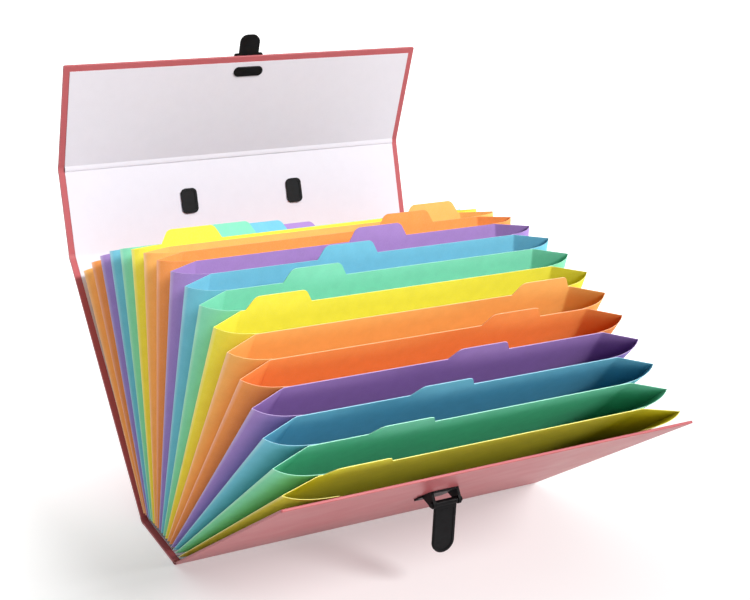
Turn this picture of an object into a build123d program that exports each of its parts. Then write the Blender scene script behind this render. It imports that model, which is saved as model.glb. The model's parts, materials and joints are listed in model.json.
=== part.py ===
# Accordion file in a wrapped-board carrying case, standing fanned open on its spine.
# Origin: middle of the spine's underside. X runs along the case, +Y to the back, +Z up.
from build123d import *
import math
import os

os.makedirs("parts", exist_ok=True)

# Case panels, measured from fold axis to fold axis or to the free edge
case_width = 335.0
spine_depth = 73.0
back_height = 244.0
flap_height = 98.0
front_height = 229.0
board_thick = 2.0
lining_thick = 0.4
flap_clearance = 1.8
turn_in = 5.5
corner_radius = 1.5
edge_bevel = 0.4
panel_thick = board_thick + lining_thick
lid_depth = spine_depth + panel_thick + flap_clearance

# Folds: the wrap paper bends over a gap between two boards
fold_half_width = 3.2
fold_thick = 0.6
fold_seam = 0.2

# Open pose: angles in degrees from upright, positive to the back
back_angle = 45.7
lid_angle = 18.8
flap_angle = -14.6
front_angle = -53.4
spine_angle = 90.0

# Pockets: dividers hinged on the spine, fanned between the back and the front cover
pocket_count = 18
colour_count = 6
divider_width = 266.0
divider_height = 224.5
divider_thick = 0.5
foot_clearance = 0.3
first_inset = 0.6
last_inset = 4.5
first_closing_angle = 0.4
last_opening_angle = 2.0
fan_bunching_angle = 1.37
last_gape_angle = 1.0
last_gape_power = 9

# Index tabs, one place for each colour, stepping from right to left
tab_height = 11.0
tab_foot = 52.0
tab_top = 39.5
tab_round = 3.0
first_tab_inset = 1.5
last_tab_inset = 3.5

# Side gussets: one outward pleat on each side, wider at the ends of the fan and at the foot
gusset_reach = 25.5
gusset_end_reach = 4.0
gusset_foot_reach = 32.5
gusset_thick = 0.4
gusset_flap = 6.0
gusset_foot = 3.0
running_gap = 0.3

# Pleated base strip on the spine lining
pleat_thick = 1.2
pleat_margin = 1.5
pleat_overhang = 2.0

# Rivet stems through the boards
rivet_radius = 1.5
rivet_clearance = 0.1

# Tongue on the flap
tongue_width = 18.4
tongue_reach = 19.0
tongue_thick = 1.8
tongue_round = 7.0
shoulder_width = 26.8
shoulder_reach = 1.5
shoulder_root = 22.0
shoulder_round = 1.4
catch_width = 9.0
catch_length = 3.0
catch_depth = 1.0
tongue_plate_width = 27.6
tongue_plate_height = 9.2
tongue_plate_thick = 1.0
tongue_plate_inset = 14.3
tongue_rivet_pitch = 14.0

# Clasp on the front cover, heights measured up the cover from its fold axis
clasp_low = 110.0
clasp_high = 141.0
clasp_width = 24.0
clasp_plate_thick = 1.6
clasp_round = 2.0
lug_width = 29.0
lug_height = 6.0
lug_rise = 11.0
cheek_thick = 2.2
cheek_low = 124.0
cheek_high = 140.0
cheek_round = 3.2
cheek_clearance = 0.6
clasp_pin_height = 136.5
clasp_pin_standoff = 9.0
clasp_pin_radius = 1.2
clasp_pin_head_radius = 2.0
clasp_pin_head = 1.4
pin_clearance = 0.1
clasp_rivet_pitch = 13.0
clasp_inner_thick = 1.0

# Clasp lever, measured from its pin
lever_length = 42.0
lever_thick = 2.4
lever_barrel = 2.4
lever_clearance = 0.4
lever_bevel = 0.8
lever_rim = 2.6
lever_dish = 0.4
tooth_width = 8.0
tooth_thick = 1.6
tooth_reach = 2.4
tooth_place = 6.0

# Carry handle on the outside of the lid strip
bracket_spacing = 104.0
bracket_width = 15.0
bracket_height = 22.4
bracket_round = 4.5
bracket_thick = 1.6
boss_length = 11.0
boss_radius = 3.8
handle_standoff = 5.6
handle_peg_radius = 1.8
handle_peg_clearance = 0.1
handle_side_gap = 0.6
handle_leg = 9.0
handle_reach = 34.0
handle_grip = 11.0
handle_thick = 5.0
handle_over = 2.5
handle_round = 9.0
handle_inner_round = 5.0
handle_soften = 1.2
peg_end_gap = 1.0
inner_plate_thick = 1.6
inner_plate_rim = 2.2
inner_plate_dish = 0.5
bracket_post = 7.0

# One overrun serves all cuts
overrun = 2.0

X_DIRECTION = Vector(1, 0, 0)
FROM_FOOT = (Align.CENTER, Align.MIN, Align.MIN)


def up_panel(lean):
    """Unit vector up a panel that leans to the back by this angle."""
    return Vector(0, math.sin(math.radians(lean)), math.cos(math.radians(lean)))


def panel_plane(foot, lean, facing=1):
    """Plane of an outer face: y runs up the panel and z points into the case."""
    along = X_DIRECTION * facing
    return Plane(origin=foot, x_dir=along, z_dir=along.cross(up_panel(lean)))


back_foot = Vector(0, spine_depth / 2, 0)
front_foot = Vector(0, -spine_depth / 2, 0)
lid_foot = back_foot + up_panel(back_angle) * back_height
flap_foot = lid_foot + up_panel(lid_angle) * lid_depth

spine_plane = panel_plane(front_foot, spine_angle)
back_plane = panel_plane(back_foot, back_angle)
lid_plane = panel_plane(lid_foot, lid_angle)
flap_plane = panel_plane(flap_foot, flap_angle)
front_plane = panel_plane(front_foot, front_angle, facing=-1)

nodes = {}


# Boards, linings and folds of the case
def board(low, high, free_end):
    """Wrapped board lying on its own plane, with soft edges and eased free corners."""
    blank = Box(case_width, high - low, board_thick, align=FROM_FOOT)
    if free_end:
        far_corners = blank.edges().filter_by(Axis.Z).group_by(Axis.Y)[-1]
        blank = fillet(far_corners, corner_radius)
    by_height = blank.faces().sort_by(Axis.Z)
    blank = chamfer(by_height[0].edges() + by_height[-1].edges(), edge_bevel)
    return Pos(0, low, 0) * blank


def lining(low, high):
    """Lining sheet on the board's inner face, inside the turned-in border."""
    sheet = Box(case_width - 2 * turn_in, high - low, lining_thick, align=FROM_FOOT)
    return Pos(0, low, board_thick) * sheet


def rivet_holes(places):
    """Drill for rivet stems, right through a board and its lining."""
    drill = Cylinder(rivet_radius + rivet_clearance, 2 * (panel_thick + overrun))
    return [Pos(x, y, 0) * drill for x, y in places]


def post_holes(places):
    """Square holes for the posts of the handle's brackets."""
    side = bracket_post + 2 * rivet_clearance
    punch = Box(side, side, 2 * (panel_thick + overrun))
    return [Pos(x, y, 0) * punch for x, y in places]


def rivet_stems(places, length):
    """Stems that stand on a hardware plate and fill the holes of the board."""
    stem = Cylinder(rivet_radius, length, align=(Align.CENTER, Align.CENTER, Align.MIN))
    return [Pos(x, y, 0) * stem for x, y in places]


def fold_band(foot, lean_before, lean_after, facing=1):
    """Wrap paper round a fold: an arc tangent to the outer faces of both boards."""
    reach = fold_half_width - fold_seam
    along = X_DIRECTION * facing
    before, after = up_panel(lean_before), up_panel(lean_after)
    start, end = foot - before * reach, foot + after * reach
    inner_start = start + along.cross(before) * fold_thick
    inner_end = end + along.cross(after) * fold_thick
    outline = [
        TangentArc(start, end, tangent=before),
        Line(end, inner_end),
        TangentArc(inner_start, inner_end, tangent=before),
        Line(inner_start, start),
    ]
    return extrude(make_face(outline), amount=case_width / 2, dir=X_DIRECTION, both=True)


lid_middle = lid_depth / 2
bracket_places = [(side * bracket_spacing / 2, lid_middle) for side in (-1, 1)]
tongue_rivet_y = flap_height - tongue_plate_inset
tongue_places = [(side * tongue_rivet_pitch / 2, tongue_rivet_y) for side in (-1, 1)]
clasp_rivet_y = clasp_low + lug_rise + lug_height / 2
clasp_places = [(side * clasp_rivet_pitch / 2, clasp_rivet_y) for side in (-1, 1)]

panels = {
    "spine": (spine_plane, spine_depth - fold_half_width, False, []),
    "back": (back_plane, back_height - fold_half_width, False, []),
    "lid": (lid_plane, lid_depth - fold_half_width, False, post_holes(bracket_places)),
    "flap": (flap_plane, flap_height, True, rivet_holes(tongue_places)),
    "front": (front_plane, front_height, True, rivet_holes(clasp_places)),
}
for name, (plane, high, free_end, holes) in panels.items():
    lining_high = high - turn_in if free_end else high
    plain_board = board(fold_half_width, high, free_end)
    plain_lining = lining(fold_half_width, lining_high)
    nodes[name + "_board"] = plane * (plain_board - holes if holes else plain_board)
    nodes[name + "_lining"] = plane * (plain_lining - holes if holes else plain_lining)

nodes["back_fold"] = fold_band(back_foot, spine_angle, back_angle)
nodes["front_fold"] = fold_band(front_foot, -spine_angle, front_angle, facing=-1)
nodes["lid_fold"] = fold_band(lid_foot, back_angle, lid_angle)
nodes["flap_fold"] = fold_band(flap_foot, lid_angle, flap_angle)

# Fan of the pockets: where each divider is hinged on the spine and how far it leans
hinge_height = panel_thick + pleat_thick
first_hinge_y = spine_depth / 2 - panel_thick - first_inset
last_hinge_y = -spine_depth / 2 + panel_thick + last_inset
first_angle = back_angle + first_closing_angle
last_angle = front_angle + last_opening_angle


def fan_share(index):
    return index / (pocket_count - 1)


def hinge_point(index):
    y = first_hinge_y + (last_hinge_y - first_hinge_y) * fan_share(index)
    return Vector(0, y, hinge_height)


def divider_angle(index):
    """Even steps, with both ends of the fan a little more closed; only the last pocket gapes."""
    share = fan_share(index)
    even = first_angle + (last_angle - first_angle) * share
    bunching = fan_bunching_angle * math.sin(2 * math.pi * share)
    return even + bunching + last_gape_angle * share**last_gape_power


first_tab_x = (divider_width - tab_foot) / 2 - first_tab_inset
last_tab_x = last_tab_inset - (divider_width - tab_foot) / 2
tab_pitch = (first_tab_x - last_tab_x) / (colour_count - 1)


def divider(index):
    """Card with an index tab, whose foot lies on its hinge line."""
    sheet = Rectangle(divider_width, divider_height, align=(Align.CENTER, Align.MIN))
    corners = [(-tab_foot / 2, 0), (tab_foot / 2, 0), (tab_top / 2, tab_height), (-tab_top / 2, tab_height)]
    tab = Polygon(*corners, align=None)
    tab = fillet(tab.vertices().group_by(Axis.Y)[-1], tab_round)
    tab_x = first_tab_x - tab_pitch * (index % colour_count)
    outline = sheet + Pos(tab_x, divider_height) * tab
    card = extrude(outline, amount=divider_thick / 2, both=True)
    return panel_plane(hinge_point(index), divider_angle(index)) * card


def divider_point(index, height, to_front):
    """Point at this height up a divider, moved square to it towards the front."""
    lean = up_panel(divider_angle(index))
    return hinge_point(index) + lean * height + X_DIRECTION.cross(lean) * to_front


def pocket_walls(index, height):
    """Points at one height on the two walls of a pocket; the last pocket's front wall is the cover."""
    back = divider_point(index, height, divider_thick / 2)
    if index + 1 < pocket_count:
        front = divider_point(index + 1, height, -divider_thick / 2 - running_gap)
    else:
        outer = front_foot + up_panel(front_angle) * (hinge_height + height)
        front = outer + front_plane.z_dir * (panel_thick + running_gap)
    return back, front


def paper_panel(points, towards):
    """Flat panel of gusset paper, thickened to the side of this direction."""
    outline = make_face(Polyline(*points, close=True)).face()
    side = outline.normal_at()
    if side.dot(towards) < 0:
        side = side * -1
    return extrude(outline, amount=gusset_thick, dir=side)


def gusset(index):
    """Right and left gussets of one pocket: a glue flap and a flat pleat panel at each wall.

    The pleat closes towards its foot. Its crease on the wall and its peak aim at one apex below
    the foot, which keeps the panel flat.
    """
    back_low, front_low = pocket_walls(index, gusset_foot)
    back_high, front_high = pocket_walls(index, divider_height)
    middle_low = (back_low + front_low) * (1 / 2)
    middle_high = (back_high + front_high) * (1 / 2)
    rise = middle_high - middle_low
    pinch_share = (back_low - front_low).cross(rise).X / (back_high - front_high).cross(rise).X
    towards_end = 2 * fan_share(index) - 1
    crease_high = X_DIRECTION * (divider_width / 2)
    peak_high = crease_high + X_DIRECTION * (gusset_reach + gusset_end_reach * towards_end**2)
    peak_low = crease_high + X_DIRECTION * gusset_foot_reach
    flap_end = crease_high - X_DIRECTION * gusset_flap
    panels = []
    for low, high in ((back_low, back_high), (front_low, front_high)):
        into_pocket = middle_high - high
        wall = high - low
        apex_share = (middle_low - low).cross(wall).X / wall.cross(rise).X
        apex = peak_low + (peak_high - peak_low) * apex_share
        crease_low = apex + (crease_high - apex) * pinch_share
        flap = [low + flap_end, low + crease_low, high + crease_high, high + flap_end]
        pleat = [low + crease_low, middle_low + peak_low, middle_high + peak_high, high + crease_high]
        panels += [paper_panel(flap, into_pocket), paper_panel(pleat, into_pocket)]
    right = panels[0] + panels[1:]
    return Compound(children=[right, mirror(right, about=Plane.YZ)])


for index in range(pocket_count):
    number = f"{index + 1:02d}"
    nodes["divider_" + number] = divider(index)
    nodes["gusset_" + number] = gusset(index)

# Pleated base strip, with a groove for the foot of each divider; it ends at the first one, close to the back
strip_back = first_hinge_y
strip_front = last_hinge_y - pleat_margin
strip_length = divider_width + 2 * pleat_overhang
strip = Pos(0, strip_front, panel_thick) * Box(
    strip_length, strip_back - strip_front, pleat_thick, align=FROM_FOOT
)
groove_side = divider_thick + 2 * foot_clearance
groove = Rot(45, 0, 0) * Box(strip_length + 2 * overrun, groove_side, groove_side)
nodes["pleated_base"] = strip - [Pos(hinge_point(i)) * groove for i in range(pocket_count)]


# Tongue of the flap, riveted through the flap to a long rounded plate
def flap_tongue():
    root_height = shoulder_root + shoulder_reach
    root = Pos(0, flap_height + shoulder_reach - root_height / 2) * RectangleRounded(
        shoulder_width, root_height, shoulder_round
    )
    tip_height = tongue_reach + shoulder_root / 2
    tip = Pos(0, flap_height + tongue_reach - tip_height / 2) * Rectangle(tongue_width, tip_height)
    tip = fillet(tip.vertices().group_by(Axis.Y)[-1], tongue_round)
    blade = extrude(root + tip, amount=-tongue_thick)
    catch_y = back_height - clasp_pin_height + tooth_place
    catch = Pos(0, catch_y, -tongue_thick) * Box(catch_width, catch_length, 2 * catch_depth)
    return flap_plane * (blade - catch + rivet_stems(tongue_places, panel_thick))


def tongue_plate():
    height = tongue_plate_height
    outline = Pos(0, tongue_rivet_y, panel_thick) * SlotOverall(tongue_plate_width, height)
    plate = extrude(outline, amount=tongue_plate_thick)
    visible = plate.faces().sort_by(Axis.Z)[-1]
    plate = chamfer(visible.edges(), tongue_plate_thick / 2)
    return flap_plane * plate


nodes["flap_tongue"] = flap_tongue()
nodes["tongue_plate"] = tongue_plate()

# Clasp: a base with two cheeks and a pin on the front cover, and the lever that hangs on the pin
cheek_inside = tongue_width / 2 + cheek_clearance
SIDE_PLANE = Plane(origin=(0, 0, 0), x_dir=(0, 1, 0), z_dir=(-1, 0, 0))
pin_place = Pos(0, clasp_pin_height, -clasp_pin_standoff) * Rot(0, 90, 0)


def clasp_base():
    clasp_height = clasp_high - clasp_low
    pad = Pos(0, (clasp_low + clasp_high) / 2) * RectangleRounded(clasp_width, clasp_height, clasp_round)
    lugs = Pos(0, clasp_rivet_y) * RectangleRounded(lug_width, lug_height, clasp_round)
    plate = extrude(pad + lugs, amount=-clasp_plate_thick)
    boss = Pos(clasp_pin_height, clasp_pin_standoff) * Circle(cheek_round)
    profile = make_hull(boss.edges() + [Line((cheek_low, 0), (cheek_high, 0))])
    cheek = extrude(SIDE_PLANE * profile, amount=cheek_thick / 2, both=True)
    cheek_x = cheek_inside + cheek_thick / 2
    cheeks = [Pos(side * cheek_x, 0, 0) * cheek for side in (-1, 1)]
    pin_hole = pin_place * Cylinder(clasp_pin_radius + pin_clearance, 2 * (cheek_x + cheek_thick))
    stems = rivet_stems(clasp_places, panel_thick)
    return front_plane * (plate + cheeks - pin_hole + stems)


def clasp_plate():
    height = lug_height + 2 * clasp_round
    outline = Pos(0, clasp_rivet_y, panel_thick) * RectangleRounded(clasp_width, height, clasp_round)
    plate = extrude(outline, amount=clasp_inner_thick)
    return front_plane * plate


def clasp_pin():
    cheek_outside = cheek_inside + cheek_thick
    shaft = Cylinder(clasp_pin_radius, 2 * cheek_outside)
    head = Cylinder(clasp_pin_head_radius, clasp_pin_head)
    head_offset = cheek_outside + clasp_pin_head / 2
    heads = [Pos(0, 0, side * head_offset) * head for side in (-1, 1)]
    return front_plane * pin_place * (shaft + heads)


def clasp_lever():
    """Lever hanging straight down from the pin, round-ended, with a bevelled and dished face."""
    width = 2 * (cheek_inside - lever_clearance)
    round_radius = width / 2
    straight = lever_length - round_radius
    outline = Rectangle(width, straight, align=(Align.CENTER, Align.MAX))
    outline += Pos(0, -straight) * Circle(round_radius)
    face_plane = Plane(origin=(0, 0, 0), x_dir=(1, 0, 0), z_dir=(0, -1, 0))
    blade = extrude(face_plane * outline, amount=lever_thick / 2, both=True)
    front_face = blade.faces().sort_by(Axis.Y)[0]
    blade = chamfer(front_face.edges(), lever_bevel)
    dish_width = width - 2 * lever_rim
    dish_drop = straight - lever_barrel - lever_rim
    dish = Pos(0, -straight) * Circle(dish_width / 2)
    dish += Pos(0, -straight) * Rectangle(dish_width, dish_drop, align=(Align.CENTER, Align.MIN))
    sunk = extrude(face_plane * Pos(0, 0, lever_thick / 2) * dish, amount=-lever_dish)
    barrel = Rot(0, 90, 0) * Cylinder(lever_barrel, width)
    bore = Rot(0, 90, 0) * Cylinder(clasp_pin_radius + pin_clearance, width + 2 * overrun)
    tooth = Pos(0, lever_thick / 2, -tooth_place) * Box(
        tooth_width, 2 * tooth_reach, tooth_thick
    )
    lever = blade - sunk + barrel + tooth - bore
    pin_point = front_plane.from_local_coords(Vector(0, clasp_pin_height, -clasp_pin_standoff))
    return Pos(pin_point) * lever


nodes["clasp_base"] = clasp_base()
nodes["clasp_plate"] = clasp_plate()
nodes["clasp_pin"] = clasp_pin()
nodes["clasp_lever"] = clasp_lever()

# Carry handle: two brackets outside the lid strip, their inner plates, and the bail
boss_place = Pos(0, 0, -handle_standoff) * Rot(0, 90, 0)


def bracket():
    """Plate with a bored boss that carries one peg of the bail, and a square post through the lid strip."""
    outline = RectangleRounded(bracket_width, bracket_height, bracket_round)
    plate = extrude(outline, amount=-bracket_thick)
    neck = Box(boss_length, 2 * boss_radius, handle_standoff, align=(Align.CENTER, Align.CENTER, Align.MAX))
    boss = boss_place * Cylinder(boss_radius, boss_length)
    bore = boss_place * Cylinder(handle_peg_radius + handle_peg_clearance, boss_length + 2 * overrun)
    post = Box(bracket_post, bracket_post, panel_thick, align=(Align.CENTER, Align.CENTER, Align.MIN))
    return plate + neck + boss - bore + post


def inner_plate():
    """Rounded plate on the lining, with a raised rim round a dished middle."""
    outline = RectangleRounded(bracket_width, bracket_height, bracket_round)
    plate = extrude(outline, amount=inner_plate_thick)
    middle = RectangleRounded(
        bracket_width - 2 * inner_plate_rim,
        bracket_height - 2 * inner_plate_rim,
        bracket_round - inner_plate_rim,
    )
    dish = extrude(Pos(0, 0, inner_plate_thick) * middle, amount=-inner_plate_dish)
    return plate - dish


def handle():
    """Bail hanging straight down from its pegs: two legs and a grip round a finger gap."""
    outer_half = bracket_spacing / 2 - boss_length / 2 - handle_side_gap
    inner_half = outer_half - handle_leg
    height = handle_reach + handle_over
    outline = Pos(0, handle_over - height / 2) * Rectangle(2 * outer_half, height)
    outline = fillet(outline.vertices().group_by(Axis.Y)[0], handle_round)
    gap_height = height - handle_grip
    gap = Pos(0, handle_over - gap_height / 2) * Rectangle(2 * inner_half, gap_height)
    gap = fillet(gap.vertices().group_by(Axis.Y)[0], handle_inner_round)
    face_plane = Plane(origin=(0, 0, 0), x_dir=(1, 0, 0), z_dir=(0, -1, 0))
    bail = extrude(face_plane * (outline - gap), amount=handle_thick / 2, both=True)
    by_depth = bail.faces().sort_by(Axis.Y)
    bail = chamfer(by_depth[0].edges() + by_depth[-1].edges(), handle_soften)
    peg_end = bracket_spacing / 2 + boss_length / 2 - peg_end_gap
    peg_length = peg_end - outer_half + handle_leg / 2
    peg = Rot(0, 90, 0) * Cylinder(handle_peg_radius, peg_length)
    peg_x = peg_end - peg_length / 2
    bail += [Pos(side * peg_x, 0, 0) * peg for side in (-1, 1)]
    pivot = lid_plane.from_local_coords(Vector(0, lid_middle, -handle_standoff))
    return Pos(pivot) * bail


bracket_feet = [Pos(side * bracket_spacing / 2, lid_middle, 0) for side in (-1, 1)]
plate_feet = [Pos(side * bracket_spacing / 2, lid_middle, panel_thick) for side in (-1, 1)]
nodes["handle_brackets"] = Compound(children=[lid_plane * foot * bracket() for foot in bracket_feet])
nodes["handle_plates"] = Compound(children=[lid_plane * foot * inner_plate() for foot in plate_feet])
nodes["handle"] = handle()

for name, solid in nodes.items():
    export_step(solid, os.path.join("parts", name + ".step"))
print(len(nodes), "nodes")
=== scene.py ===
import json
import math

import bpy
import numpy as np
from mathutils import Matrix, Vector

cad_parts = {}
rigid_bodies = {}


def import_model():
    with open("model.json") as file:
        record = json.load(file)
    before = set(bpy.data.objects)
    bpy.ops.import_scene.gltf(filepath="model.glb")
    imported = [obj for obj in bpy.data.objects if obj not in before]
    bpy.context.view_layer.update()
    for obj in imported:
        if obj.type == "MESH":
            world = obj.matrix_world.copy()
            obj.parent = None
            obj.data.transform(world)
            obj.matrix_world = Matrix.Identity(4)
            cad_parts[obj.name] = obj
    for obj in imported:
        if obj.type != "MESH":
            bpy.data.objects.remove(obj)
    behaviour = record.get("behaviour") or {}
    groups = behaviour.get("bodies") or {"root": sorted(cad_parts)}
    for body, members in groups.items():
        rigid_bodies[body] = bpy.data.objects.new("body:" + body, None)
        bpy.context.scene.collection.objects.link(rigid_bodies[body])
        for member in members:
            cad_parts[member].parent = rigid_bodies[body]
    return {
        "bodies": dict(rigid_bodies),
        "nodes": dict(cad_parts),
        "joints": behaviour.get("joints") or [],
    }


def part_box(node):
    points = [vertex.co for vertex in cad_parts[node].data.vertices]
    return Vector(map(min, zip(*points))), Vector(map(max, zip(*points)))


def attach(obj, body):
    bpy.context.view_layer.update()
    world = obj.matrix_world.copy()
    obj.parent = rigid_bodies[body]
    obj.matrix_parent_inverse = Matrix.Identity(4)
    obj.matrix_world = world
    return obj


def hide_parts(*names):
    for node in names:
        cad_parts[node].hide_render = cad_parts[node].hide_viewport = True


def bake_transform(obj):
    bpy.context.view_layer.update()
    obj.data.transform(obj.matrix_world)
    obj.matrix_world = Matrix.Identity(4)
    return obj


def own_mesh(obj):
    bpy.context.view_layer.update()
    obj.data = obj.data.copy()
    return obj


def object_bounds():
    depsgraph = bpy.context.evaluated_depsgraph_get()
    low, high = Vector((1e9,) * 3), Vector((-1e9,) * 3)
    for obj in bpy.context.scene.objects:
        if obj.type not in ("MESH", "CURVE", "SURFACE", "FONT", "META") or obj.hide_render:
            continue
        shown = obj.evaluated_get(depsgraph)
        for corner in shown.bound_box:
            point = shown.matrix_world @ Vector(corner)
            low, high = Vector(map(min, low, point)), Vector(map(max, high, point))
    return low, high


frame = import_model()
cad_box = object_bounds()

MM = 0.001
SQUARE = 90.0
X_AXIS = np.array([1.0, 0.0, 0.0])
WHITE = (1, 1, 1, 1)

# Measures of the model that differ by less than this count as equal
CLOSE = 0.1 * MM

# Camera at the photograph's viewing angle
CAMERA_PLACE = (-0.517, -0.9388, 0.5711)
CAMERA_YAW = -29.705
CAMERA_PITCH = 19.976
CAMERA_ROLL = 2.67
CAMERA_LENS = 68.7

# Colours, as shares of red, green and blue light
PAPER_COLOURS = {
    "paper_orange": (0.98, 0.51, 0.14),
    "paper_red_orange": (0.98, 0.36, 0.095),
    "paper_purple": (0.42, 0.26, 0.60),
    "paper_blue": (0.20, 0.57, 0.73),
    "paper_green": (0.26, 0.75, 0.53),
    "paper_yellow": (0.91, 0.84, 0.08),
}
PAPER_SLOTS = list(PAPER_COLOURS)
WRAP_COLOUR = (0.46, 0.112, 0.122)
LINING_COLOUR = (0.69, 0.66, 0.715)
PLASTIC_COLOUR = (0.005, 0.005, 0.0055)
FLOOR_COLOUR = (0.55, 0.55, 0.55)

# Noise: how fine its layers go, and the band where most of its values lie
PLAIN_DETAIL = 0.0
SOFT_DETAIL = 1.0
FINE_DETAIL = 2.0
FULL_DETAIL = 3.0
FIBRE_DETAIL = 4.0
NOISE_BAND = (0.3, 0.7)

# Dyed paper
PAPER_CLOUD = 9 * MM
PAPER_CLOUDINESS = 0.03
PAPER_FIBRE = 0.5 * MM
PAPER_FIBRE_STRETCH = (1, 1, 0.35)
PAPER_FIBRE_BAND = (0.45, 0.8)
PAPER_FIBRE_SHARE = 0.16
PAPER_FIBRE_WHITE = 0.4
PAPER_FIBRE_DEPTH = 0.04 * MM
PAPER_FIBRE_STRENGTH = 0.8
PAPER_WAVE = 40 * MM
PAPER_WAVE_DEPTH = 0.2 * MM
PAPER_WAVE_STRENGTH = 0.5
# Crest line towards white: a painted highlight where a pleat's crest catches the light, together with
# the crease's wear
PAPER_CREST_HIGHLIGHT_AND_WEAR = 0.35
PAPER_ROUGHNESS = (0.62, 0.78)
PAPER_GLOSS = 0.03

# The lining is smoother and more even than the pockets' paper
LINING_CLOUDINESS = 0.01
LINING_WAVE_DEPTH = 0.06 * MM

# Cut edges of paper
EDGE_FIBRE = 0.35 * MM
EDGE_WHITES = (0.08, 0.28)
EDGE_ROUGHNESS = (0.65, 0.85)
EDGE_DEPTH = 0.05 * MM

# Wrap of the boards
WRAP_PEBBLE = 0.7 * MM
WRAP_PEBBLE_BAND = (0.1, 0.7)
WRAP_PEBBLE_SHARE = 0.35
WRAP_PEBBLE_SHADE = 0.92
WRAP_CLOUD = 22 * MM
WRAP_CLOUDINESS = 0.03
WRAP_RUB_WIDTH = 0.8 * MM
WRAP_RUB_SHARE = 0.35
WRAP_RUB_WHITE = 0.25
WRAP_ROUGHNESS = (0.29, 0.34)
WRAP_ROUGHNESS_CLOUD = 30 * MM
WRAP_GLOSS = 0.07
WRAP_WAVE = 60 * MM
WRAP_WAVE_DEPTH = 0.15 * MM
WRAP_WAVE_STRENGTH = 0.4
WRAP_GRAIN = 0.8 * MM
WRAP_GRAIN_DEPTH = 0.004 * MM
WRAP_GRAIN_STRENGTH = 0.5

# Moulded plastic
PLASTIC_TEXTURE = 0.3 * MM
PLASTIC_TEXTURE_DEPTH = 0.03 * MM
PLASTIC_TEXTURE_STRENGTH = 0.6
PLASTIC_MARKS = 6 * MM
PLASTIC_MARKS_STRETCH = (1, 1, 4)
PLASTIC_MARKS_TINT = 1.8
PLASTIC_ROUGHNESS = (0.4, 0.52)
PLASTIC_GLOSS = 0.1

# Floor, whose glow grows over a reach along Y, and sky, whose glow fades over a rise above the horizon
FLOOR_HALF = 30.0
FLOOR_CLOUD = 0.5
FLOOR_CLOUDINESS = 0.01
FLOOR_ROUGHNESS = 0.9
FLOOR_GLOW = (0.36, 0.85)
FLOOR_GLOW_REACH = (-0.05, 0.15)
SKY_GLOW = (1.0, 0.05)
SKY_GLOW_RISE = (0.08, 0.14)

# Suns: strength, width as an angle, and the place that they shine from
SUNS = {
    "key": (3.9, 22, (0.43, -0.66, 0.62)),
    "overhead": (1.35, 90, (0.0, 0.1, 1.0)),
}

# Cards of the pockets and their tabs
CARD_ROWS = 18
CARD_STEP = 9 * MM
TAB_ROWS = 7
TAB_SLANT = 6.25 * MM
TAB_ROUND = 3 * MM

# Gussets of the pockets; a pleat's peak lies halfway between the walls
GUSSET_PAPER = 0.3 * MM
GUSSET_FOOT = 6.5 * MM
GUSSET_FLAP = 6 * MM
GUSSET_GAP = 0.3 * MM
GUSSET_ROWS = 22
PEAK_SHARE = 0.5
CREST_HALF = 0.5 * MM
CREST_LINE_SHARE = 0.3
BACK_STEPS = 6
FRONT_STEPS = 9
FIRST_SOFT_CREASE = 1 * MM
LAST_SOFT_CREASE = 3 * MM
SOFT_CREASE_POWER = 3
FLAP_CUT_BACK = 2 * MM
FRONT_BOW_SHARE = 0.18

# Folds of the wrap
FOLD_PAPER = 0.4 * MM
FOLD_PROUD = 0.04 * MM
FOLD_LAP = 1.2 * MM
FOLD_STEPS = 10
GUTTER_DEPTH = 1.8 * MM
FLAP_RIDGE = 2 * MM

JOINTS = {joint["name"]: joint for joint in frame["joints"]}


def widest(joint):
    """The end of a joint's range that lies further from rest."""
    return max(JOINTS[joint]["range_deg"], key=abs)


def joint_place(joint):
    return np.array(JOINTS[joint]["pos_m"])


def rise_of(lean):
    """Unit vector up a panel that leans to the back by this angle."""
    return np.array([0.0, math.sin(math.radians(lean)), math.cos(math.radians(lean))])


class Panel:
    """A flat panel's own axes: along X, up from its foot, and square to its outer face into the case."""

    def __init__(self, foot, lean, facing=1):
        self.foot = np.array(foot)
        self.rise = rise_of(lean)
        self.inward = np.cross(X_AXIS * facing, self.rise)
        self.axes = (self.rise, self.inward)

    def point(self, x, height, depth):
        return self.foot + X_AXIS * x + self.rise * height + self.inward * depth

    def measure(self, node):
        """A CAD node's points in this panel's own axes."""
        points = np.array([v.co for v in frame["nodes"][node].data.vertices]) - self.foot
        return np.stack([points[:, 0], points @ self.rise, points @ self.inward], axis=1)


# Panels of the case as they stand at rest, and sizes measured on the model
back_lean = widest("back_hinge")
front_lean = widest("front_hinge")
lid_lean = back_lean + JOINTS["lid_hinge"]["range_deg"][0]
flap_lean = lid_lean + widest("flap_hinge") - SQUARE
spine = Panel(joint_place("front_hinge"), SQUARE)
back = Panel(joint_place("back_hinge"), back_lean)
lid = Panel(joint_place("lid_hinge"), lid_lean)
flap = Panel(joint_place("flap_hinge"), flap_lean)
front = Panel(joint_place("front_hinge"), front_lean, facing=-1)

case_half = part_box("spine_board")[1].x
board_thick = back.measure("back_board")[:, 2].max()
panel_thick = back.measure("back_lining")[:, 2].max()
lining_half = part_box("spine_lining")[1].x
fold_half = back.measure("back_board")[:, 1].min()

pocket_names = [name for name in frame["bodies"] if name.startswith("pocket_")]
pocket_leans = [widest(name + "_hinge") for name in pocket_names]
cards = [Panel(joint_place(name + "_hinge"), lean) for name, lean in zip(pocket_names, pocket_leans)]
hinge_height = cards[0].foot[2]
card_shape = cards[0].measure("divider_01")
card_half = card_shape[:, 0].max()
card_thick = 2 * card_shape[:, 2].max()
tab_top = card_shape[:, 1].max()
card_height = card_shape[np.isclose(card_shape[:, 0], card_half, atol=CLOSE), 1].max()


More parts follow.
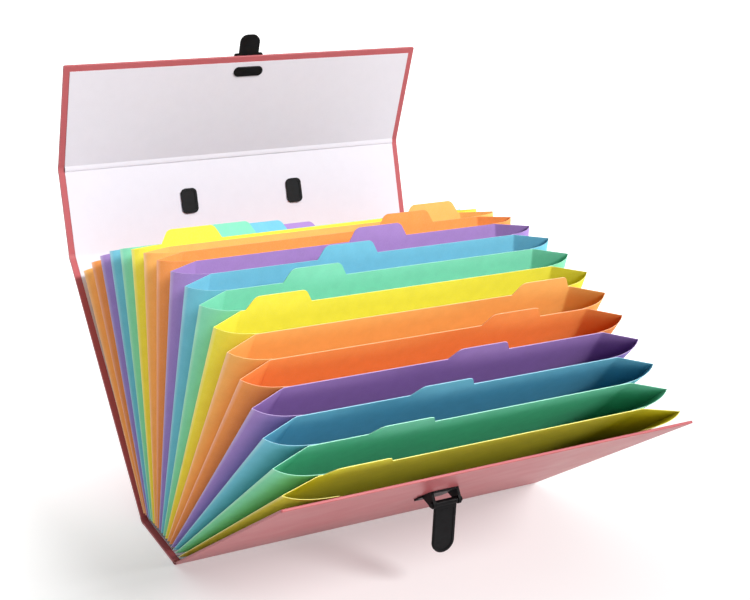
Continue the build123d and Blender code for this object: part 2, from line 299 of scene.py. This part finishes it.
# Helpers for materials
def new_material(name):
    """Empty node material with one principled shader."""
    material = bpy.data.materials.new(name)
    material.use_nodes = True
    tree = material.node_tree
    tree.nodes.clear()
    output = tree.nodes.new("ShaderNodeOutputMaterial")
    shader = tree.nodes.new("ShaderNodeBsdfPrincipled")
    tree.links.new(shader.outputs["BSDF"], output.inputs["Surface"])
    return material, tree, shader


def object_place(tree):
    """Place on the object, so that a pattern stays on its piece when the piece moves."""
    return tree.nodes.new("ShaderNodeTexCoord").outputs["Object"]


def component(tree, vector, axis):
    """The X, Y or Z part of a vector."""
    axes = tree.nodes.new("ShaderNodeSeparateXYZ")
    tree.links.new(vector, axes.inputs["Vector"])
    return axes.outputs[axis]


def noise(tree, size, detail=FULL_DETAIL, stretch=(1, 1, 1)):
    """Noise whose blotches are about this size."""
    mapping = tree.nodes.new("ShaderNodeMapping")
    mapping.inputs["Scale"].default_value = stretch
    tree.links.new(object_place(tree), mapping.inputs["Vector"])
    texture = tree.nodes.new("ShaderNodeTexNoise")
    texture.inputs["Scale"].default_value = 1 / size
    texture.inputs["Detail"].default_value = detail
    tree.links.new(mapping.outputs["Vector"], texture.inputs["Vector"])
    return texture.outputs["Fac"]


def spread(tree, value, low, high, start=NOISE_BAND[0], end=NOISE_BAND[1]):
    """Stretches a value between start and end over low to high."""
    node = tree.nodes.new("ShaderNodeMapRange")
    node.inputs["From Min"].default_value = start
    node.inputs["From Max"].default_value = end
    node.inputs["To Min"].default_value = low
    node.inputs["To Max"].default_value = high
    tree.links.new(value, node.inputs["Value"])
    return node.outputs["Result"]


def colour_socket(sockets, name):
    """The socket of this name that takes or gives a colour."""
    return next(socket for socket in sockets if socket.name == name and socket.type == "RGBA")


def mix_colour(tree, share, first, second):
    """Mix of two colours; each is a socket or a plain colour."""
    node = tree.nodes.new("ShaderNodeMix")
    node.data_type = "RGBA"
    tree.links.new(share, node.inputs["Factor"])
    for name, colour in (("A", first), ("B", second)):
        socket = colour_socket(node.inputs, name)
        if isinstance(colour, tuple):
            socket.default_value = (*colour, 1.0)
        else:
            tree.links.new(colour, socket)
    return colour_socket(node.outputs, "Result")


def add_bump(tree, shader, height, depth, strength=1.0, below=None):
    """Bump of this depth; below is an earlier bump that it lies on."""
    node = tree.nodes.new("ShaderNodeBump")
    node.inputs["Strength"].default_value = strength
    node.inputs["Distance"].default_value = depth
    tree.links.new(height, node.inputs["Height"])
    if below is not None:
        tree.links.new(below, node.inputs["Normal"])
    tree.links.new(node.outputs["Normal"], shader.inputs["Normal"])
    return node.outputs["Normal"]


def tinted(colour, factor):
    return tuple(min(1.0, c * factor) for c in colour)


def towards_white(colour, share):
    return tuple(c + (1 - c) * share for c in colour)


def clouded(tree, cloud_size, colour, cloudiness):
    """Colour that drifts a little darker and lighter in soft blotches."""
    cloud = spread(tree, noise(tree, cloud_size), 0, 1)
    return mix_colour(tree, cloud, tinted(colour, 1 - cloudiness), tinted(colour, 1 + cloudiness))


# Materials
def paper_material(name, colour, wave_depth=PAPER_WAVE_DEPTH, cloudiness=PAPER_CLOUDINESS):
    """Dyed paper: cloudy formation, fine fibres, and a paler line along each crest: partly a painted
    highlight where the crest catches the light, partly paper worn pale at the crease.
    """
    material, tree, shader = new_material(name)
    fibre = noise(tree, PAPER_FIBRE, FIBRE_DETAIL, PAPER_FIBRE_STRETCH)
    tone = clouded(tree, PAPER_CLOUD, colour, cloudiness)
    fibre_share = spread(tree, fibre, 0, PAPER_FIBRE_SHARE, *PAPER_FIBRE_BAND)
    tone = mix_colour(tree, fibre_share, tone, towards_white(colour, PAPER_FIBRE_WHITE))
    # Paler line on each pleat's crest: painted highlight, together with wear of the crease
    crest = tree.nodes.new("ShaderNodeAttribute")
    crest.attribute_name = "crest"
    tone = mix_colour(tree, crest.outputs["Fac"], tone, towards_white(colour, PAPER_CREST_HIGHLIGHT_AND_WEAR))
    tree.links.new(tone, shader.inputs["Base Color"])
    tree.links.new(spread(tree, fibre, *PAPER_ROUGHNESS), shader.inputs["Roughness"])
    shader.inputs["Specular IOR Level"].default_value = PAPER_GLOSS
    wave = noise(tree, PAPER_WAVE, SOFT_DETAIL)
    waved = add_bump(tree, shader, wave, wave_depth, PAPER_WAVE_STRENGTH)
    add_bump(tree, shader, fibre, PAPER_FIBRE_DEPTH, PAPER_FIBRE_STRENGTH, below=waved)
    return material


def edge_material(name, colour):
    """Cut edge of dyed paper: paler, with the sheet's fibres standing out."""
    material, tree, shader = new_material(name)
    fibre = noise(tree, EDGE_FIBRE, FINE_DETAIL)
    tones = [towards_white(colour, share) for share in EDGE_WHITES]
    tree.links.new(mix_colour(tree, spread(tree, fibre, 0, 1), *tones), shader.inputs["Base Color"])
    tree.links.new(spread(tree, fibre, *EDGE_ROUGHNESS), shader.inputs["Roughness"])
    add_bump(tree, shader, fibre, EDGE_DEPTH)
    return material


def wrap_material(name, colour):
    """Pink wrap: laminated paper with a fine pebble grain, rubbed paler along the ends of the boards."""
    material, tree, shader = new_material(name)
    pebble = tree.nodes.new("ShaderNodeTexVoronoi")
    pebble.inputs["Scale"].default_value = 1 / WRAP_PEBBLE
    tree.links.new(object_place(tree), pebble.inputs["Vector"])
    tone = clouded(tree, WRAP_CLOUD, colour, WRAP_CLOUDINESS)
    grain = spread(tree, pebble.outputs["Distance"], 0, WRAP_PEBBLE_SHARE, *WRAP_PEBBLE_BAND)
    tone = mix_colour(tree, grain, tone, tinted(colour, WRAP_PEBBLE_SHADE))
    outwards = tree.nodes.new("ShaderNodeMath")
    outwards.operation = "ABSOLUTE"
    tree.links.new(component(tree, object_place(tree), "X"), outwards.inputs[0])
    rub = spread(tree, outwards.outputs[0], 0, WRAP_RUB_SHARE, case_half - WRAP_RUB_WIDTH, case_half)
    tone = mix_colour(tree, rub, tone, towards_white(colour, WRAP_RUB_WHITE))
    tree.links.new(tone, shader.inputs["Base Color"])
    roughness = spread(tree, noise(tree, WRAP_ROUGHNESS_CLOUD, SOFT_DETAIL), *WRAP_ROUGHNESS)
    tree.links.new(roughness, shader.inputs["Roughness"])
    shader.inputs["Specular IOR Level"].default_value = WRAP_GLOSS
    wave = noise(tree, WRAP_WAVE, PLAIN_DETAIL)
    waved = add_bump(tree, shader, wave, WRAP_WAVE_DEPTH, WRAP_WAVE_STRENGTH)
    fine = noise(tree, WRAP_GRAIN, SOFT_DETAIL)
    add_bump(tree, shader, fine, WRAP_GRAIN_DEPTH, WRAP_GRAIN_STRENGTH, below=waved)
    return material


def plastic_material(name, colour):
    """Moulded black plastic with a fine spark-eroded texture and faint handling marks."""
    material, tree, shader = new_material(name)
    marks = spread(tree, noise(tree, PLASTIC_MARKS, stretch=PLASTIC_MARKS_STRETCH), 0, 1)
    tone = mix_colour(tree, marks, colour, tinted(colour, PLASTIC_MARKS_TINT))
    tree.links.new(tone, shader.inputs["Base Color"])
    tree.links.new(spread(tree, marks, *PLASTIC_ROUGHNESS), shader.inputs["Roughness"])
    shader.inputs["Specular IOR Level"].default_value = PLASTIC_GLOSS
    texture = noise(tree, PLASTIC_TEXTURE, FINE_DETAIL)
    add_bump(tree, shader, texture, PLASTIC_TEXTURE_DEPTH, PLASTIC_TEXTURE_STRENGTH)
    return material


def floor_material(name, colour):
    """Light table: a pale sheet that glows, most of all behind the case.

    The glow keeps the shadows on it faint.
    """
    material, tree, shader = new_material(name)
    tree.links.new(clouded(tree, FLOOR_CLOUD, colour, FLOOR_CLOUDINESS), shader.inputs["Base Color"])
    shader.inputs["Roughness"].default_value = FLOOR_ROUGHNESS
    shader.inputs["Emission Color"].default_value = WHITE
    along = component(tree, object_place(tree), "Y")
    glow = spread(tree, along, *FLOOR_GLOW, *FLOOR_GLOW_REACH)
    tree.links.new(glow, shader.inputs["Emission Strength"])
    return material


paper = {slot: paper_material(slot, colour) for slot, colour in PAPER_COLOURS.items()}
paper_edge = {slot: edge_material(slot + "_edge", colour) for slot, colour in PAPER_COLOURS.items()}
wrap = wrap_material("wrap_pink", WRAP_COLOUR)
lining = paper_material("lining_white", LINING_COLOUR, LINING_WAVE_DEPTH, LINING_CLOUDINESS)
lining_edge = edge_material("lining_white_edge", LINING_COLOUR)
plastic = plastic_material("plastic_black", PLASTIC_COLOUR)


def dress(node, material):
    """Gives a CAD node that keeps its shape a finished material."""
    mesh = frame["nodes"][node].data
    mesh.materials.clear()
    mesh.materials.append(material)


# Sheets
def add_object(name, data):
    thing = bpy.data.objects.new(name, data)
    bpy.context.scene.collection.objects.link(thing)
    return thing


def free_edges(quads):
    """Edges that only one quad uses, in that quad's direction."""
    uses = {}
    for quad in quads:
        for start, end in zip(quad, quad[1:] + quad[:1]):
            uses.setdefault(frozenset((start, end)), []).append((start, end))
    return [pairs[0] for pairs in uses.values() if len(pairs) == 1]


def thick_sheet(
    name, points, quads, thickness, face_material, rim_material, back_material=None, crest=None
):
    """Object for a sheet: two faces, half the thickness either side of the points, and a cut rim.

    The rim has corners of its own, so that the faces keep their smooth shading up to their edges.
    """
    points = np.array(points)
    normals = np.zeros_like(points)
    for quad in quads:
        a, b, c, d = (points[i] for i in quad)
        normals[list(quad)] += np.cross(c - a, d - b)
    normals /= np.linalg.norm(normals, axis=1)[:, None]
    count = len(points)
    vertices = np.vstack([points + normals * thickness / 2, points - normals * thickness / 2])
    faces = [tuple(quad) for quad in quads]
    faces += [tuple(i + count for i in reversed(quad)) for quad in quads]
    rim = free_edges(quads)
    rim_corners = []
    for start, end in rim:
        first = 2 * count + len(rim_corners)
        corners = [end, start, start + count, end + count]
        faces.append(tuple(range(first, first + len(corners))))
        rim_corners += corners
    vertices = np.vstack([vertices, vertices[rim_corners]])
    mesh = bpy.data.meshes.new(name)
    mesh.from_pydata([tuple(v) for v in vertices], [], faces)
    for material in (face_material, back_material or face_material, rim_material):
        mesh.materials.append(material)
    places = [0] * len(quads) + [1] * len(quads) + [2] * len(rim)
    mesh.polygons.foreach_set("use_smooth", [place < 2 for place in places])
    mesh.polygons.foreach_set("material_index", places)
    if crest is not None:
        attribute = mesh.attributes.new("crest", "FLOAT", "POINT")
        sources = [*range(2 * count), *rim_corners]
        attribute.data.foreach_set("value", [crest[i % count] for i in sources])
    mesh.update()
    return add_object(name, mesh)


def grid_quads(rows, columns):
    """Quads of a grid whose points are numbered row by row."""
    quads = []
    for row in range(rows - 1):
        for column in range(columns - 1):
            corner = row * columns + column
            quads.append((corner, corner + 1, corner + columns + 1, corner + columns))
    return quads


def bend(start, control, end, steps):
    """Points on a quadratic curve, without its first point."""
    shares = [step / steps for step in range(1, steps + 1)]
    return [start * (1 - s) ** 2 + control * 2 * s * (1 - s) + end * s**2 for s in shares]


def evenly(start, end, step):
    return list(np.linspace(start, end, max(2, math.ceil((end - start) / step) + 1)))


# Pockets
def pocket_share(index):
    return index / (len(cards) - 1)


def pocket_number(index):
    return f"{index + 1:02d}"


def pocket_slot(index):
    return PAPER_SLOTS[index % len(PAPER_SLOTS)]


def tab_edges(index):
    """Where the foot of a card's index tab starts and ends."""
    shape = cards[index].measure("divider_" + pocket_number(index))
    level = np.isclose(shape[:, 1], card_height, atol=CLOSE)
    inside = np.abs(shape[:, 0]) < card_half - CLOSE
    feet = shape[level & inside, 0]
    return feet.min(), feet.max()


def tab_narrowing(rise):
    """How far a tab's side has moved in at this height above the card: a slant that ends in a round."""
    tall = tab_top - card_height
    slant = TAB_SLANT * rise / tall
    into_round = max(0.0, rise - (tall - TAB_ROUND)) / TAB_ROUND
    return slant + TAB_ROUND * (1 - math.sqrt(max(0.0, 1 - into_round**2)))


def make_card(index):
    """Divider card with its index tab, as one thick sheet.

    Its back is the front wall of the pocket behind, and has that pocket's colour.
    """
    card = cards[index]
    left, right = tab_edges(index)
    xs = evenly(-card_half, left, CARD_STEP)[:-1] + evenly(left, right, CARD_STEP)
    xs += evenly(right, card_half, CARD_STEP)[1:]
    points = []
    for height in np.linspace(0, card_height, CARD_ROWS):
        points += [card.point(x, height, 0) for x in xs]
    quads = grid_quads(CARD_ROWS, len(xs))
    tab_xs = [x for x in xs if left - CLOSE < x < right + CLOSE]
    below = [len(xs) * (CARD_ROWS - 1) + xs.index(x) for x in tab_xs]
    middle = (left + right) / 2
    half = (right - left) / 2
    tall = tab_top - card_height
    for turn in np.linspace(0, math.pi / 2, TAB_ROWS):
        rise = tall - TAB_ROUND + TAB_ROUND * math.sin(turn)
        scale = (half - tab_narrowing(rise)) / half
        above = list(range(len(points), len(points) + len(tab_xs)))
        points += [card.point(middle + (x - middle) * scale, card_height + rise, 0) for x in tab_xs]
        for column in range(len(tab_xs) - 1):
            quads.append((below[column], below[column + 1], above[column + 1], above[column]))
        below = above
    slot = pocket_slot(index)
    behind = pocket_slot(max(0, index - 1))
    number = pocket_number(index)
    materials = (paper[slot], paper_edge[slot], paper[behind])
    piece = thick_sheet("card_" + number, points, quads, card_thick, *materials)
    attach(piece, pocket_names[index])
    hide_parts("divider_" + number)


def front_wall(index, x, height, clearance):
    """Point on the front wall of a pocket: the back of the next card, or the inside of the cover."""
    if index + 1 < len(cards):
        return cards[index + 1].point(x, height, -card_thick / 2 - clearance)
    return front.point(x, hinge_height + height, panel_thick + clearance)


def mouth(index, height):
    """Room between the two walls of a pocket at this height."""
    back_wall = cards[index].point(card_half, height, card_thick / 2)
    return np.linalg.norm(front_wall(index, card_half, height, GUSSET_GAP) - back_wall)


def pleat_peaks(index):
    """How far out a pocket's pleats reach at the foot and at the top of their solid."""
    shape = cards[index].measure("gusset_" + pocket_number(index))
    upper = shape[:, 1] > card_height / 2
    return shape[~upper, 0].max(), shape[upper, 0].max()


def pleat_profile(full_reach, reach, soft_crease, bow_share):
    """Section of a pleat, from its back flap to its front flap.

    Each point is a distance in from the peak and a share of the way from the back to the front wall.
    """
    across = np.array([0.0, 1.0])
    flap_end = np.array([full_reach + GUSSET_FLAP + soft_crease, 0.0])
    crease = np.array([reach, 0.0])
    peak = np.array([0.0, PEAK_SHARE])
    soft = np.array([soft_crease * reach / full_reach, 0.0])
    shoulder = crease + (peak - crease) * soft[0] / reach
    crest_share = CREST_HALF / reach
    back_crest = peak + (crease - peak) * crest_share
    section = [flap_end, crease + soft]
    section += bend(crease + soft, crease, shoulder, BACK_STEPS)
    section += [(shoulder + back_crest) / 2, back_crest]
    section += [peak + (back_crest - peak) * CREST_LINE_SHARE, peak]
    control = (peak + crease + across) / 2 + np.array([-reach, 1.0]) * bow_share
    front_crest = peak + (control - peak) * crest_share
    section += [peak + (front_crest - peak) * CREST_LINE_SHARE, front_crest]
    section += bend(front_crest, control, crease + soft + across, FRONT_STEPS)
    section += [flap_end + across]
    return section


def make_gusset(index, side):
    """One pleated side of a pocket: flat at its back, bowed at its front, closing towards its foot."""
    low_peak, high_peak = pleat_peaks(index)
    full_reach = high_peak - card_half
    softening = (LAST_SOFT_CREASE - FIRST_SOFT_CREASE) * pocket_share(index) ** SOFT_CREASE_POWER
    soft_crease = FIRST_SOFT_CREASE + softening
    points = []
    crest = []
    for height in np.linspace(GUSSET_FOOT, card_height, GUSSET_ROWS):
        up_share = (height - GUSSET_FOOT) / (card_height - GUSSET_FOOT)
        peak = low_peak + (high_peak - low_peak) * up_share
        reach = full_reach * mouth(index, height) / mouth(index, card_height)
        section = pleat_profile(full_reach, reach, soft_crease, FRONT_BOW_SHARE * up_share**2)
        for inset, share in section:
            x = side * (peak - inset)
            on_flap = abs(x) < card_half - GUSSET_FLAP
            level = min(height, card_height - FLAP_CUT_BACK) if on_flap else height
            start = cards[index].point(x, level, 0)
            end = front_wall(index, x, level, GUSSET_GAP + GUSSET_PAPER / 2)
            points.append(start + (end - start) * share)
            # Share of the crest line (painted highlight and crease wear) at this point
            crest.append(max(0.0, 1 - inset / CREST_HALF))
    quads = grid_quads(GUSSET_ROWS, len(section))
    slot = pocket_slot(index)
    number = pocket_number(index)
    name = ("left" if side < 0 else "right") + "_gusset_" + number
    piece = thick_sheet(name, points, quads, GUSSET_PAPER, paper[slot], paper_edge[slot], crest=crest)
    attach(piece, pocket_names[index])
    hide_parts("gusset_" + number)
    anchor = cards[index].point(0, 0, card_thick / 2)
    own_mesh(piece)


for pocket in range(len(cards)):
    make_card(pocket)
    for pocket_side in (-1, 1):
        make_gusset(pocket, pocket_side)


# Boards, linings and hardware keep their CAD shape
for panel_name in ("spine", "back", "lid", "flap", "front"):
    dress(panel_name + "_board", wrap)
    dress(panel_name + "_lining", lining)
dress("pleated_base", lining)
for hardware in (
    "flap_tongue", "tongue_plate", "clasp_base", "clasp_plate", "clasp_pin", "clasp_lever",
    "handle_brackets", "handle_plates", "handle",
):
    dress(hardware, plastic)


# Folds of the wrap between two boards
def fold_section(foot, before, after, edge_depth, middle_depth, lap_depth, lean=0.0):
    """Section across a fold, from one board to the next; depths are measured in from the outer faces.

    before and after are pairs of unit vectors: along the board away from its start, and into the case.
    The middle of the bend leans this far towards the first board.
    """
    (along_before, in_before), (along_after, in_after) = before, after
    start = foot - along_before * fold_half
    end = foot + along_after * fold_half
    control = foot + (in_before + in_after) / 2 * middle_depth - (along_before + along_after) / 2 * lean
    section = [start - along_before * FOLD_LAP + in_before * lap_depth, start + in_before * edge_depth]
    section += bend(start + in_before * edge_depth, control, end + in_after * edge_depth, FOLD_STEPS)
    section += [end + along_after * FOLD_LAP + in_after * lap_depth]
    return section


def strip(section, low_x, high_x):
    """Points and quads of a section drawn out along X."""
    points = [point + X_AXIS * x for x in (low_x, high_x) for point in section]
    return points, grid_quads(2, len(section))


def make_fold(name, foot, before, after, ridge=0.0):
    """Wrap paper over a fold with its turned-in ends, and the lining inside.

    The lining can stand up in a ridge.
    """
    sides = (foot, before, after)
    outer = fold_section(*sides, FOLD_PAPER / 2 - FOLD_PROUD, FOLD_PAPER / 2, FOLD_PAPER)
    inner = fold_section(*sides, board_thick - FOLD_PAPER, GUTTER_DEPTH, board_thick - 2 * FOLD_PAPER)
    ridge_depth = GUTTER_DEPTH + FOLD_PAPER + ridge
    lined = fold_section(*sides, panel_thick - FOLD_PAPER / 2, ridge_depth, board_thick, ridge)
    points, quads = strip(outer, -case_half, case_half)
    for low_x, high_x in ((-case_half, -lining_half), (lining_half, case_half)):
        more_points, more_quads = strip(inner, low_x, high_x)
        quads += [tuple(i + len(points) for i in quad) for quad in more_quads]
        points += more_points
    wrapped = thick_sheet(name + "_wrap", points, quads, FOLD_PAPER, wrap, wrap)
    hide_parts(name)
    gutter_strip = strip(lined, -lining_half, lining_half)
    gutter = thick_sheet(name + "_lining", *gutter_strip, FOLD_PAPER, lining, lining_edge)
    for piece in (wrapped, gutter):
        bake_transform(piece)


make_fold("back_fold", back.foot, spine.axes, back.axes)
make_fold("front_fold", front.foot, (-spine.rise, spine.inward), front.axes)
make_fold("lid_fold", lid.foot, back.axes, lid.axes)
make_fold("flap_fold", flap.foot, lid.axes, flap.axes, FLAP_RIDGE)


# Stage
def make_floor():
    corners = [(-1, -1), (1, -1), (1, 1), (-1, 1)]
    mesh = bpy.data.meshes.new("floor")
    mesh.from_pydata([(x * FLOOR_HALF, y * FLOOR_HALF, 0) for x, y in corners], [], [(0, 1, 2, 3)])
    mesh.materials.append(floor_material("floor", FLOOR_COLOUR))
    floor = add_object("floor", mesh)
    floor.location.z = cad_box[0].z


def make_sky():
    """White round the horizon, where low views look past the floor, and dim above."""
    world = bpy.data.worlds.new("studio")
    world.use_nodes = True
    tree = world.node_tree
    background = tree.nodes["Background"]
    background.inputs["Color"].default_value = WHITE
    direction = tree.nodes.new("ShaderNodeTexCoord").outputs["Generated"]
    glow = spread(tree, component(tree, direction, "Z"), *SKY_GLOW, *SKY_GLOW_RISE)
    tree.links.new(glow, background.inputs["Strength"])
    bpy.context.scene.world = world


def make_suns():
    for name, (strength, width, place) in SUNS.items():
        sun = bpy.data.lights.new(name, "SUN")
        sun.energy = strength
        sun.angle = math.radians(width)
        sun_object = add_object(name, sun)
        sun_object.location = place
        sun_object.rotation_euler = (-Vector(place)).to_track_quat("-Z", "Y").to_euler()


def make_camera():
    yaw, pitch, roll = (math.radians(a) for a in (CAMERA_YAW, CAMERA_PITCH, CAMERA_ROLL))
    level = math.cos(pitch)
    ahead = Vector((-math.sin(yaw) * level, math.cos(yaw) * level, -math.sin(pitch)))
    right = Vector((math.cos(yaw), math.sin(yaw), 0))
    above = right.cross(ahead)
    rolled_right = right * math.cos(roll) + above * math.sin(roll)
    rolled_up = above * math.cos(roll) - right * math.sin(roll)
    data = bpy.data.cameras.new("camera")
    data.lens = CAMERA_LENS
    camera = add_object("camera", data)
    turn = Matrix((rolled_right, rolled_up, -ahead)).transposed().to_4x4()
    camera.matrix_world = Matrix.Translation(CAMERA_PLACE) @ turn
    bpy.context.scene.camera = camera


make_floor()
make_sky()
make_suns()
make_camera()
bpy.context.scene.view_settings.view_transform = "Standard"
